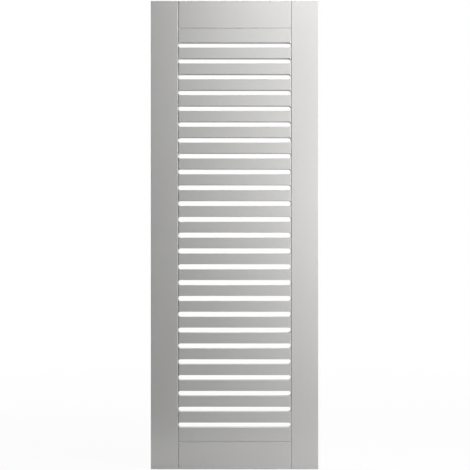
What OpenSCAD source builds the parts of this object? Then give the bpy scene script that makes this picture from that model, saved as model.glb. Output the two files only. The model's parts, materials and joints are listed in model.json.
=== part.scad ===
// Openwork cupboard door: one lacquered board with a routed frame line and a ladder of through slots.
// The front faces -Y, +Z is up, and the origin is under the middle of the bottom edge.

/* [Leaf] */
// Width of the leaf
leaf_w = 397; // [300:1:600]
// Height of the leaf
leaf_h = 1110; // [800:1:2000]
// Thickness of the board
leaf_t = 19; // [16:0.5:30]
// Rounding of the outer arrises
arris_r = 1; // [0.5:0.25:4]

/* [Frame lines] */
// Width of each stile, from the edge of the leaf to the middle of its groove
stile_w = 65; // [55:1:90]
// Height of each rail, from the end of the leaf to the middle of its groove
rail_h = 65; // [50:1:150]
// Width of the V groove at the face
groove_w = 3.5; // [3:0.5:8]
// Angle between the two walls of the V groove
groove_angle = 90; // [80:5:120]

/* [Slots] */
// Number of slots
slot_count = 25; // [5:1:30]
// Height of each slot, which is the diameter of the cutter
slot_h = 12; // [8:0.5:16]
// Distance from the groove of a rail to the centre line of the nearest slot
slot_margin = 39.5; // [25:0.5:80]
// How far the tip of each slot runs past the middle of the stile groove
slot_overrun = 0.25; // [0:0.25:8]
// Bevel on the front and back lips of each slot
slot_lip = 0.8; // [0.3:0.1:1.5]

/* [Hinge bores] */
// Number of hinges along the stile
hinge_count = 3; // [2:1:5]
// Distance from each end of the leaf to the middle of the nearest hinge
hinge_end = 100; // [70:1:200]
// Diameter of the hinge cup
cup_d = 35; // [26:0.5:40]
// Depth of the hinge cup
cup_depth = 12.5; // [8:0.5:13]
// Board left between the cup and the edge of the leaf
cup_tab = 5; // [3:0.5:7]
// Diameter of the two dowel holes beside each cup
dowel_d = 8; // [5:0.5:10]
// Depth of the dowel holes
dowel_depth = 11; // [8:0.5:13]
// Distance between the two dowel holes of a hinge
dowel_spacing = 45; // [45:0.5:52]
// How far the dowel holes lie further in than the middle of the cup
dowel_offset = 9.5; // [5:0.5:11]

/* [Hidden] */
$fn = 64;

// Cutters run this far past the face that they start from
overcut = 1;

front_y = -leaf_t / 2;
back_y = leaf_t / 2;
groove_x = leaf_w / 2 - stile_w;
groove_depth = groove_w / 2 / tan(groove_angle / 2);
slot_first_z = rail_h + slot_margin;
slot_pitch = (leaf_h - 2 * slot_first_z) / (slot_count - 1);
slot_end_x = groove_x + slot_overrun - slot_h / 2;
cup_x = -leaf_w / 2 + cup_tab + cup_d / 2;
hinge_pitch = (leaf_h - 2 * hinge_end) / (hinge_count - 1);

// Rectangle with round corners, centred
module rounded_rectangle(w, h, r) {
    square([w - 2 * r, h], center = true);
    square([w, h - 2 * r], center = true);
    for (x = [-1, 1], y = [-1, 1])
        translate([x * (w / 2 - r), y * (h / 2 - r)])
            circle(r);
}

// Plain board with its outer arrises rounded along all four edges
module board() {
    intersection() {
        linear_extrude(leaf_h)
            rounded_rectangle(leaf_w, leaf_t, arris_r);
        translate([-leaf_w / 2, 0, leaf_h / 2])
            rotate([90, 0, 90])
                linear_extrude(leaf_w)
                    rounded_rectangle(leaf_t, leaf_h, arris_r);
    }
}

// V groove along +Z, cut into the front face
module groove_cutter(length) {
    flare = overcut * tan(groove_angle / 2);
    linear_extrude(length)
        polygon([
            [-groove_w / 2 - flare, front_y - overcut],
            [groove_w / 2 + flare, front_y - overcut],
            [0, front_y + groove_depth]
        ]);
}

// Stile grooves run out at both ends of the leaf, and rail grooves stop at the stile grooves
module frame_lines() {
    for (x = [-groove_x, groove_x])
        translate([x, 0, -overcut])
            groove_cutter(leaf_h + 2 * overcut);
    for (z = [rail_h, leaf_h - rail_h])
        translate([-groove_x, 0, z])
            rotate([0, 90, 0])
                groove_cutter(2 * groove_x);
}

// Half of the cutter's outline, from its axis out: straight through the board, bevelled at both lips
module cutter_half_outline() {
    wide = slot_h / 2 + slot_lip + overcut;
    polygon([
        [0, front_y - overcut],
        [wide, front_y - overcut],
        [slot_h / 2, front_y + slot_lip],
        [slot_h / 2, back_y - slot_lip],
        [wide, back_y + overcut],
        [0, back_y + overcut]
    ]);
}

// One slot: the cutter goes in at one end, runs along the leaf and leaves a round end at each side
module slot_cutter() {
    for (side = [0, 180])
        rotate([0, side, 0])
            translate([slot_end_x, 0, 0])
                rotate([-90, 0, 0])
                    rotate([0, 0, -90])
                        rotate_extrude(angle = 180)
                            cutter_half_outline();
    for (side = [0, 1])
        mirror([0, 0, side])
            translate([slot_end_x, 0, 0])
                rotate([0, -90, 0])
                    linear_extrude(2 * slot_end_x)
                        cutter_half_outline();
}

// Cup and two dowel holes of one concealed hinge, bored from the back
module hinge_bores() {
    translate([cup_x, back_y - cup_depth, 0])
        rotate([-90, 0, 0])
            cylinder(d = cup_d, h = cup_depth + overcut);
    for (side = [-1, 1])
        translate([cup_x + dowel_offset, back_y - dowel_depth, side * dowel_spacing / 2])
            rotate([-90, 0, 0])
                cylinder(d = dowel_d, h = dowel_depth + overcut);
}

module door_leaf() {
    color([0.74, 0.74, 0.73])
        difference() {
            board();
            frame_lines();
            for (i = [0 : slot_count - 1])
                translate([0, 0, slot_first_z + i * slot_pitch])
                    slot_cutter();
            for (i = [0 : hinge_count - 1])
                translate([0, 0, hinge_end + i * hinge_pitch])
                    hinge_bores();
        }
}

door_leaf();
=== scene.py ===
"""Openwork cupboard door: one lacquered board with routed frame lines and a ladder of slots."""

import json
import math

import bpy
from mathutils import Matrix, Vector


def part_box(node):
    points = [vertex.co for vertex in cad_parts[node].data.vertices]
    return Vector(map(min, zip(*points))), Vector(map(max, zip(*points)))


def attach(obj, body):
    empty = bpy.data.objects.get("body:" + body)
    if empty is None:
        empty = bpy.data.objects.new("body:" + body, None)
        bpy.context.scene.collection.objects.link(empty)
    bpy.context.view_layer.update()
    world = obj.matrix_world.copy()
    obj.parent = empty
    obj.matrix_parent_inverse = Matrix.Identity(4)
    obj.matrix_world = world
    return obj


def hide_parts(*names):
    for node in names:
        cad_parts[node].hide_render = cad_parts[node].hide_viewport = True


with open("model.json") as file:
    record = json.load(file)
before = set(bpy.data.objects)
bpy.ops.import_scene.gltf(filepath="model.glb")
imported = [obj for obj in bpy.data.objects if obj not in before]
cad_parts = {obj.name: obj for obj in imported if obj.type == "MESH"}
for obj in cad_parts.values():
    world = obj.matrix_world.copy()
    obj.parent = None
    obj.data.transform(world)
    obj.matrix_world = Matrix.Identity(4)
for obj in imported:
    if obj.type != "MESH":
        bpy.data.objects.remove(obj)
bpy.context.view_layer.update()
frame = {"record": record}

# Sizes that come from the frame, in metres
leaf_low, leaf_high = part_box("door_leaf")
leaf_width = leaf_high.x - leaf_low.x
leaf_height = leaf_high.z - leaf_low.z
board_thickness = leaf_high.y - leaf_low.y
mounts = {mount["name"]: mount for mount in frame["record"]["mounts"]}
openings = frame["record"]["physics"]["openings"]
slot_boxes = [opening["box_m"] for opening in openings if opening["name"].startswith("slot_")]
slot_levels = [(low[2] + high[2]) / 2 for low, high in slot_boxes]
slot_end = slot_boxes[0][1][0]
hinge_mounts = [mounts[name] for name in ("hinge_lower", "hinge_middle", "hinge_upper")]
hinge_levels = [mount["pos_m"][2] for mount in hinge_mounts]
cup_mount = mounts["hinge_cups_low"]
MILLIMETRE = 0.001

# Sizes of the board, its routing and boring in metres, those not in the frame as in the part's source
LEAF_SIZES = {
    "Leaf width": leaf_width,
    "Leaf height": leaf_height,
    "Board thickness": board_thickness,
    "Outer arris": 0.001,
    "Stile width": 0.065,
    "Rail height": 0.065,
    "Groove width": 0.0035,
    "Slot count": len(slot_boxes),
    "First slot level": min(slot_levels),
    "Slot pitch": (max(slot_levels) - min(slot_levels)) / (len(slot_levels) - 1),
    "Slot height": 0.012,
    "Slot end": slot_end,
    "Lip round": 0.001,
    "Hinge count": len(hinge_mounts),
    "First hinge level": min(hinge_levels),
    "Hinge pitch": (max(hinge_levels) - min(hinge_levels)) / (len(hinge_levels) - 1),
    "Cup place": cup_mount["pos_m"][0],
    "Cup radius": cup_mount["dims"]["hole_r_mm"] * MILLIMETRE,
    "Cup depth": 0.0125,
    "Dowel place": hinge_mounts[0]["pos_m"][0],
    "Dowel radius": hinge_mounts[0]["dims"]["hole_r_mm"] * MILLIMETRE,
    "Dowel depth": 0.011,
    "Dowel spacing": hinge_mounts[0]["dims"]["spacing_y_mm"] * MILLIMETRE,
}

# Fineness of the round shapes, and how far a cutter reaches past the board
ARRIS_SEGMENTS = 32
SLOT_SEGMENTS = 66
LIP_STEPS = 5
LIP_START_ANGLE = math.radians(10)
LIP_REACH = 0.00006
GROOVE_CUTTER_SIDES = 4
CUP_SEGMENTS = 96
DOWEL_SEGMENTS = 48
OVERCUT = 0.001
SHARP_ANGLE = math.radians(28)
QUARTER_TURN = math.pi / 2


class Link:
    """An output socket that takes part in Python arithmetic, one Math node for each operator."""

    def __init__(self, graph, socket):
        self.graph = graph
        self.socket = socket

    def maths(self, operation, first, second=0.0):
        return self.graph.node("ShaderNodeMath", {"operation": operation}, {0: first, 1: second})

    def __add__(self, other):
        return self.maths("ADD", self, other)

    def __radd__(self, other):
        return self.maths("ADD", other, self)

    def __sub__(self, other):
        return self.maths("SUBTRACT", self, other)

    def __rsub__(self, other):
        return self.maths("SUBTRACT", other, self)

    def __mul__(self, other):
        return self.maths("MULTIPLY", self, other)

    def __rmul__(self, other):
        return self.maths("MULTIPLY", other, self)

    def __truediv__(self, other):
        return self.maths("DIVIDE", self, other)

    def __rtruediv__(self, other):
        return self.maths("DIVIDE", other, self)

    def __abs__(self):
        return self.maths("ABSOLUTE", self)

    def __gt__(self, other):
        return self.maths("GREATER_THAN", self, other)

    def sign(self):
        return self.maths("SIGN", self)

    def root(self):
        return self.maths("SQRT", self)

    def sine(self):
        return self.maths("SINE", self)

    def cosine(self):
        return self.maths("COSINE", self)

    def at_least(self, other):
        return self.maths("MAXIMUM", self, other)

    def at_most(self, other):
        return self.maths("MINIMUM", self, other)


class Graph:
    """A node tree that is filled one node at a time."""

    def __init__(self, tree):
        self.tree = tree

    def node(self, kind, settings=None, sockets=None, output=0):
        """Adds a node with its settings, gives each socket its value or links, and returns one output."""
        made = self.tree.nodes.new(kind)
        for name, value in (settings or {}).items():
            setattr(made, name, value)
        for key, value in (sockets or {}).items():
            for item in value if isinstance(value, list) else [value]:
                if isinstance(item, Link):
                    self.tree.links.new(item.socket, made.inputs[key])
                else:
                    made.inputs[key].default_value = item
        return Link(self, made.outputs[output])

    def vector(self, x=0.0, y=0.0, z=0.0):
        return self.node("ShaderNodeCombineXYZ", {}, {"X": x, "Y": y, "Z": z})

    def axis(self, name, vector):
        return self.node("ShaderNodeSeparateXYZ", {}, {0: vector}, name)

    def object_place(self):
        return self.node("ShaderNodeTexCoord", output="Object")


# Materials

LACQUER_LIGHT = (0.533, 0.528, 0.523, 1.0)
LACQUER_DARK = (0.515, 0.510, 0.505, 1.0)
LACQUER_CUT = (0.512, 0.506, 0.500, 1.0)
LACQUER_ROUGHNESS = 0.50
LACQUER_SPECULAR = 0.5
LACQUER_RELIEF = 0.00002
FIBRE_LIGHT = (0.46, 0.33, 0.21, 1.0)
FIBRE_DARK = (0.33, 0.22, 0.13, 1.0)
FIBRE_ROUGHNESS = 0.85
FIBRE_SPECULAR = 0.3
FIBRE_RELIEF = 0.0002
FIBRE_STRETCH = (1.0, 3.0, 1.0)

# Scale and detail of each pattern, and its middle value
CLOUD = (4.0, 2.0)
MIST = (180.0, 3.0)
ORANGE_PEEL = (420.0, 2.0)
CUT_GRAIN = (1500.0, 3.0)
FIBRE = (900.0, 4.0)
PATCH = (120.0, 2.0)
PATTERN_MIDDLE = 0.5

# How much the patterns and the routing change a surface, and the depth at which a cut starts and is full
CLOUD_SHARE = 0.6
FIBRE_SHARE = 0.65
TONE_RANGE = (0.35, 0.65)
CLOUD_ROUGHNESS = 0.10
MIST_ROUGHNESS = 0.08
FIBRE_ROUGHNESS_CHANGE = 0.1
CUT_RANGE = (0.0003, 0.0012)
CUT_COLOUR_SHARE = 0.7
CUT_ROUGHNESS = 0.08


def new_material(name):
    material = bpy.data.materials.new(name)
    material.use_nodes = True
    material.node_tree.nodes.clear()
    return material, Graph(material.node_tree)


def show_surface(graph, shader):
    output = graph.tree.nodes.new("ShaderNodeOutputMaterial")
    graph.tree.links.new(shader.socket, output.inputs["Surface"])


def noise(graph, place, pattern):
    scale, detail = pattern
    return graph.node("ShaderNodeTexNoise", {}, {"Vector": place, "Scale": scale, "Detail": detail}, "Fac")


def ramp_between(graph, value, limits):
    low, high = limits
    return graph.node(
        "ShaderNodeMapRange", {"clamp": True}, {"Value": value, "From Min": low, "From Max": high}
    )


def mix_colours(graph, share, first, second):
    """Mixes two colours, whose sockets the Mix node tells from its others by number alone."""
    first_socket, second_socket, result = 6, 7, 2
    sockets = {"Factor": share, first_socket: first, second_socket: second}
    return graph.node("ShaderNodeMix", {"data_type": "RGBA"}, sockets, result)


def coated(graph, colour, roughness, height, relief, specular):
    """Shader of a solid finish, with its relief in metres."""
    normal = graph.node("ShaderNodeBump", {}, {"Height": height, "Distance": relief, "Strength": 1.0})
    return graph.node(
        "ShaderNodeBsdfPrincipled",
        {},
        {
            "Base Color": colour,
            "Roughness": roughness,
            "Normal": normal,
            "Specular IOR Level": specular,
        },
    )


def satin_lacquer():
    """Light grey satin lacquer: even on the faces, a little drier on routed walls and edges."""
    material, graph = new_material("grey_satin_lacquer")
    place = graph.object_place()
    under_face = board_thickness / 2 - abs(graph.axis("Y", place))
    cut = ramp_between(graph, under_face, CUT_RANGE)
    cloud = noise(graph, place, CLOUD)
    mist = noise(graph, place, MIST)
    peel = noise(graph, place, ORANGE_PEEL)
    grain = noise(graph, place, CUT_GRAIN)
    tone = ramp_between(graph, CLOUD_SHARE * cloud + (1 - CLOUD_SHARE) * mist, TONE_RANGE)
    face_colour = mix_colours(graph, tone, LACQUER_DARK, LACQUER_LIGHT)
    colour = mix_colours(graph, CUT_COLOUR_SHARE * cut, face_colour, LACQUER_CUT)
    cloud_change = CLOUD_ROUGHNESS * (cloud - PATTERN_MIDDLE)
    mist_change = MIST_ROUGHNESS * (mist - PATTERN_MIDDLE)
    roughness = LACQUER_ROUGHNESS + cloud_change + mist_change + CUT_ROUGHNESS * cut
    height = peel * (1 - cut) + grain * cut
    show_surface(graph, coated(graph, colour, roughness, height, LACQUER_RELIEF, LACQUER_SPECULAR))
    return material


def bare_fibreboard():
    """Raw fibreboard where the hinge bores are drilled: brown, dry and fibrous."""
    material, graph = new_material("bare_fibreboard")
    place = graph.object_place()
    fibre_place = graph.node("ShaderNodeMapping", {}, {"Vector": place, "Scale": FIBRE_STRETCH})
    fibre = noise(graph, fibre_place, FIBRE)
    patch = noise(graph, place, PATCH)
    tone = ramp_between(graph, FIBRE_SHARE * fibre + (1 - FIBRE_SHARE) * patch, TONE_RANGE)
    colour = mix_colours(graph, tone, FIBRE_DARK, FIBRE_LIGHT)
    roughness = FIBRE_ROUGHNESS + FIBRE_ROUGHNESS_CHANGE * (fibre - PATTERN_MIDDLE)
    show_surface(graph, coated(graph, colour, roughness, fibre, FIBRE_RELIEF, FIBRE_SPECULAR))
    return material


# The leaf


def instances(graph, points, shape):
    placed = graph.node("GeometryNodeInstanceOnPoints", {}, {"Points": points, "Instance": shape})
    return graph.node("GeometryNodeRealizeInstances", {}, {"Geometry": placed})


def row_of_points(graph, count, start, step):
    return graph.node(
        "GeometryNodeMeshLine", {"mode": "OFFSET"}, {"Count": count, "Start Location": start, "Offset": step}
    )


def moved(graph, shape, place=None, turn=(0.0, 0.0, 0.0)):
    sockets = {"Geometry": shape, "Rotation": turn}
    if place is not None:
        sockets["Translation"] = place
    return graph.node("GeometryNodeTransform", {}, sockets)


def cylinder(graph, segments, radius, depth, side_segments=1):
    return graph.node(
        "GeometryNodeMeshCylinder",
        {"fill_type": "NGON"},
        {"Vertices": segments, "Side Segments": side_segments, "Radius": radius, "Depth": depth},
        "Mesh",
    )


def rounded_board(graph, size):
    """Plain board: the hull of eight small balls, so that every arris is rounded."""
    inset = 2 * size["Outer arris"]
    inner = graph.vector(
        size["Leaf width"] - inset, size["Board thickness"] - inset, size["Leaf height"] - inset
    )
    corners = graph.node("GeometryNodeMeshCube", {}, {"Size": inner}, "Mesh")
    corners = moved(graph, corners, graph.vector(z=size["Leaf height"] / 2))
    ball = graph.node(
        "GeometryNodeMeshUVSphere",
        {},
        {"Segments": ARRIS_SEGMENTS, "Rings": ARRIS_SEGMENTS // 2, "Radius": size["Outer arris"]},
        "Mesh",
    )
    return graph.node("GeometryNodeConvexHull", {}, {"Geometry": instances(graph, corners, ball)})


def slot_cutters(graph, size):
    """Round cutter drawn out along each slot, with its lips rounded over at both faces.

    The cutter starts as a cylinder of radius 1 between levels -1 and 1. At each end its first ring stands
    just outside the board, the next ones follow the round of the lip, and the middle is the straight wall.
    """
    side_segments = 2 * LIP_STEPS + 3
    shape = cylinder(graph, SLOT_SEGMENTS, 1.0, 2.0, side_segments)
    position = graph.node("GeometryNodeInputPosition")
    across = graph.axis("X", position)
    up = graph.axis("Y", position)
    along = graph.axis("Z", position)
    ring = (1 - abs(along)) * (side_segments / 2)
    step = (ring.at_least(1.0) - 1) / LIP_STEPS
    angle = LIP_START_ANGLE + (QUARTER_TURN - LIP_START_ANGLE) * step
    outside = 1 - ring.at_most(1.0)
    lip = size["Lip round"]
    depth = lip * (1 - angle.cosine()) - outside * LIP_REACH
    half_height = size["Slot height"] / 2 + lip * (1 - angle.sine())
    half_height = half_height + outside * (LIP_REACH / math.tan(LIP_START_ANGLE))
    shaped = graph.vector(
        across * half_height + across.sign() * size["Slot end"],
        -1 * along.sign() * (size["Board thickness"] / 2 - depth),
        up * half_height,
    )
    shape = graph.node("GeometryNodeSetPosition", {}, {"Geometry": shape, "Position": shaped})
    rungs = row_of_points(
        graph,
        size["Slot count"],
        graph.vector(z=size["First slot level"]),
        graph.vector(z=size["Slot pitch"]),
    )
    return instances(graph, rungs, shape)


def groove_cutter(graph, size, length):
    """Square bar on edge, which leaves a V groove half as deep as it is wide."""
    return cylinder(graph, GROOVE_CUTTER_SIDES, size["Groove width"] / 2, length)


def stile_groove_cutters(graph, size):
    """V grooves along both stiles, from end to end of the leaf."""
    shape = groove_cutter(graph, size, size["Leaf height"] + 2 * OVERCUT)
    groove_x = size["Leaf width"] / 2 - size["Stile width"]
    start = graph.vector(0 - groove_x, size["Board thickness"] / -2, size["Leaf height"] / 2)
    return instances(graph, row_of_points(graph, 2, start, graph.vector(2 * groove_x)), shape)


def rail_groove_cutters(graph, size):
    """V grooves under the top rail and over the bottom rail, from stile groove to stile groove."""
    groove_x = size["Leaf width"] / 2 - size["Stile width"]
    shape = moved(graph, groove_cutter(graph, size, 2 * groove_x), turn=(0.0, QUARTER_TURN, 0.0))
    start = graph.vector(0.0, size["Board thickness"] / -2, size["Rail height"])
    step = graph.vector(z=size["Leaf height"] - 2 * size["Rail height"])
    return instances(graph, row_of_points(graph, 2, start, step), shape)


def bore(graph, size, segments, radius, depth, across, up):
    """One blind bore from the back face."""
    shape = cylinder(graph, segments, radius, depth + OVERCUT)
    middle = size["Board thickness"] / 2 - depth / 2 + OVERCUT / 2
    return moved(graph, shape, graph.vector(across, middle, up), (QUARTER_TURN, 0.0, 0.0))


def hinge_bore_cutters(graph, size):
    """A cup and two dowel holes for each concealed hinge."""
    half_spacing = size["Dowel spacing"] / 2
    cup = bore(graph, size, CUP_SEGMENTS, size["Cup radius"], size["Cup depth"], size["Cup place"], 0.0)
    dowels = [
        bore(
            graph,
            size,
            DOWEL_SEGMENTS,
            size["Dowel radius"],
            size["Dowel depth"],
            size["Dowel place"],
            side * half_spacing,
        )
        for side in (-1, 1)
    ]
    joined = graph.node("GeometryNodeJoinGeometry", {}, {"Geometry": [cup] + dowels})
    places = row_of_points(
        graph,
        size["Hinge count"],
        graph.vector(z=size["First hinge level"]),
        graph.vector(z=size["Hinge pitch"]),
    )
    bores = instances(graph, places, joined)
    return graph.node(
        "GeometryNodeStoreNamedAttribute",
        {"data_type": "BOOLEAN", "domain": "FACE"},
        {"Geometry": bores, "Name": "bored", "Value": True},
    )


def smooth_shaded(graph, shape):
    """Shades the rounds smooth and keeps the edges of the grooves and bores sharp."""
    shape = graph.node(
        "GeometryNodeSetShadeSmooth", {"domain": "FACE"}, {"Geometry": shape, "Shade Smooth": True}
    )
    sharp = graph.node("GeometryNodeInputMeshEdgeAngle", output="Unsigned Angle") > SHARP_ANGLE
    return graph.node(
        "GeometryNodeSetShadeSmooth",
        {"domain": "EDGE"},
        {"Geometry": shape, "Selection": sharp, "Shade Smooth": False},
    )


def routed_leaf_tree(lacquer, fibreboard):
    """Builds the tree of the leaf, and returns it with the identifier of each named size."""
    tree = bpy.data.node_groups.new("routed_leaf", "GeometryNodeTree")
    tree.interface.new_socket("Geometry", in_out="OUTPUT", socket_type="NodeSocketGeometry")
    identifiers = {}
    for name, value in LEAF_SIZES.items():
        kind = "NodeSocketInt" if isinstance(value, int) else "NodeSocketFloat"
        identifiers[name] = tree.interface.new_socket(name, in_out="INPUT", socket_type=kind).identifier
    graph = Graph(tree)
    given = tree.nodes.new("NodeGroupInput")
    size = {name: Link(graph, given.outputs[name]) for name in LEAF_SIZES}
    cutters = [
        slot_cutters(graph, size),
        stile_groove_cutters(graph, size),
        rail_groove_cutters(graph, size),
        hinge_bore_cutters(graph, size),
    ]
    leaf = graph.node(
        "GeometryNodeMeshBoolean",
        {"operation": "DIFFERENCE", "solver": "MANIFOLD"},
        {"Mesh 1": rounded_board(graph, size), "Mesh 2": cutters},
        "Mesh",
    )
    leaf = graph.node("GeometryNodeRealizeInstances", {}, {"Geometry": leaf})
    leaf = smooth_shaded(graph, leaf)
    bored = graph.node("GeometryNodeInputNamedAttribute", {"data_type": "BOOLEAN"}, {"Name": "bored"})
    leaf = graph.node("GeometryNodeSetMaterial", {}, {"Geometry": leaf, "Material": lacquer})
    leaf = graph.node(
        "GeometryNodeSetMaterial", {}, {"Geometry": leaf, "Selection": bored, "Material": fibreboard}
    )
    output = tree.nodes.new("NodeGroupOutput")
    tree.links.new(leaf.socket, output.inputs["Geometry"])
    return tree, identifiers


def make_leaf():
    """Runs the tree once and keeps the result as a plain mesh."""
    tree, identifiers = routed_leaf_tree(satin_lacquer(), bare_fibreboard())
    leaf = bpy.data.objects.new("routed_leaf", bpy.data.meshes.new("routed_leaf"))
    bpy.context.scene.collection.objects.link(leaf)
    routing = leaf.modifiers.new("routing", "NODES")
    routing.node_group = tree
    for name, value in LEAF_SIZES.items():
        routing[identifiers[name]] = value
    shading = leaf.modifiers.new("shading", "WEIGHTED_NORMAL")
    shading.keep_sharp = True
    depsgraph = bpy.context.evaluated_depsgraph_get()
    mesh = bpy.data.meshes.new_from_object(leaf.evaluated_get(depsgraph), depsgraph=depsgraph)
    leaf.modifiers.clear()
    leaf.data = mesh
    return leaf


# Camera, with lengths in metres and its sensor in millimetres

IMAGE_SIZE = 470
PIXELS_PER_METRE = 422.0
VIEW_DISTANCE = 2.7
EYE_HEIGHT = 0.527
VIEW_CENTRE = Vector((0.001, leaf_low.y, 0.5552))
SENSOR = 36.0


def make_camera():
    """Level and square to the door, as in the photograph."""
    data = bpy.data.cameras.new("camera")
    data.sensor_width = SENSOR
    data.lens = PIXELS_PER_METRE * VIEW_DISTANCE / IMAGE_SIZE * SENSOR
    data.shift_y = (VIEW_CENTRE.z - EYE_HEIGHT) * PIXELS_PER_METRE / IMAGE_SIZE
    camera = bpy.data.objects.new("camera", data)
    camera.location = (VIEW_CENTRE.x, VIEW_CENTRE.y - VIEW_DISTANCE, EYE_HEIGHT)
    camera.rotation_euler = (QUARTER_TURN, 0.0, 0.0)
    bpy.context.scene.collection.objects.link(camera)
    bpy.context.scene.camera = camera


# Studio: white surroundings, a pale floor that turns whiter further out, and soft lamps

WHITE = (1.0, 1.0, 1.0, 1.0)
WHITE_STRENGTH = 1.0
FILL_STRENGTH = 0.01
FLOOR_GREY = (0.8, 0.8, 0.8, 1.0)
FLOOR_WHITE_SHARE = 0.95
FLOOR_FADE = (0.4, 2.5)
FLOOR_SIZE = 14.0

# Place, target, width and height in metres, power in watts and spread of the beam in degrees
LAMPS = {
    "key_lamp": ((0.85, -0.6, 0.75), (0.5, 0.0, 0.8), 0.7, 0.8, 14.9, 180),
    "top_lamp": ((0.3, -0.4, 1.6), (0.1, 0.0, 1.2), 0.3, 0.3, 1.18, 90),
    "foot_lamp": ((-0.05, -0.08, 0.022), (-0.05, 0.0, 0.08), 0.6, 0.05, 0.034, 180),
    "back_lamp": ((-0.1, 2.0, 1.4), (0.0, 0.0, 0.55), 1.0, 0.8, 24.0, 180),
    "side_lamp": ((-1.3, 0.4, 2.0), (-0.2, 0.05, 0.5), 0.3, 0.3, 0.6, 40),
}


def seen_directly(graph):
    """1 for rays that show the surroundings as they look, and 0 for rays that carry their light."""
    kinds = [
        graph.node("ShaderNodeLightPath", output=name)
        for name in ("Is Camera Ray", "Is Glossy Ray", "Is Transmission Ray")
    ]
    return (kinds[0] + kinds[1] + kinds[2]).at_most(1.0)


def make_world():
    world = bpy.data.worlds.new("white_studio")
    world.use_nodes = True
    world.node_tree.nodes.clear()
    graph = Graph(world.node_tree)
    fill = graph.node("ShaderNodeBackground", {}, {"Color": WHITE, "Strength": FILL_STRENGTH})
    white = graph.node("ShaderNodeBackground", {}, {"Color": WHITE, "Strength": WHITE_STRENGTH})
    mixed = graph.node("ShaderNodeMixShader", {}, {"Fac": seen_directly(graph), 1: fill, 2: white})
    output = world.node_tree.nodes.new("ShaderNodeOutputWorld")
    world.node_tree.links.new(mixed.socket, output.inputs["Surface"])
    bpy.context.scene.world = world


def make_floor():
    """Floor that looks nearly white, and keeps enough of its matt grey to show the door's shadow."""
    material, graph = new_material("pale_floor")
    matt = graph.node("ShaderNodeBsdfDiffuse", {}, {"Color": FLOOR_GREY})
    white = graph.node("ShaderNodeEmission", {}, {"Color": WHITE, "Strength": WHITE_STRENGTH})
    place = graph.object_place()
    across = graph.axis("X", place)
    along = graph.axis("Y", place)
    far = ramp_between(graph, (across * across + along * along).root(), FLOOR_FADE)
    share = seen_directly(graph) * (FLOOR_WHITE_SHARE + (1 - FLOOR_WHITE_SHARE) * far)
    show_surface(graph, graph.node("ShaderNodeMixShader", {}, {"Fac": share, 1: matt, 2: white}))
    half = FLOOR_SIZE / 2
    mesh = bpy.data.meshes.new("floor")
    corners = [(-half, -half, 0.0), (half, -half, 0.0), (half, half, 0.0), (-half, half, 0.0)]
    mesh.from_pydata(corners, [], [(0, 1, 2, 3)])
    mesh.materials.append(material)
    floor = bpy.data.objects.new("floor", mesh)
    bpy.context.scene.collection.objects.link(floor)


def soft_lamp(name, place, target, wide, high, power, spread):
    """Panel of light at a place, turned to its target."""
    data = bpy.data.lights.new(name, "AREA")
    data.shape = "RECTANGLE"
    data.size = wide
    data.size_y = high
    data.energy = power
    data.spread = math.radians(spread)
    lamp = bpy.data.objects.new(name, data)
    lamp.location = place
    lamp.rotation_euler = (Vector(target) - Vector(place)).to_track_quat("-Z", "Y").to_euler()
    lamp.visible_camera = False
    bpy.context.scene.collection.objects.link(lamp)


# The door in its frame, then the scene around it
door_leaf = make_leaf()
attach(door_leaf, "root")
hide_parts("door_leaf")
make_camera()
make_world()
make_floor()
for lamp_name, settings in LAMPS.items():
    soft_lamp(lamp_name, *settings)
bpy.context.scene.view_settings.view_transform = "Standard"
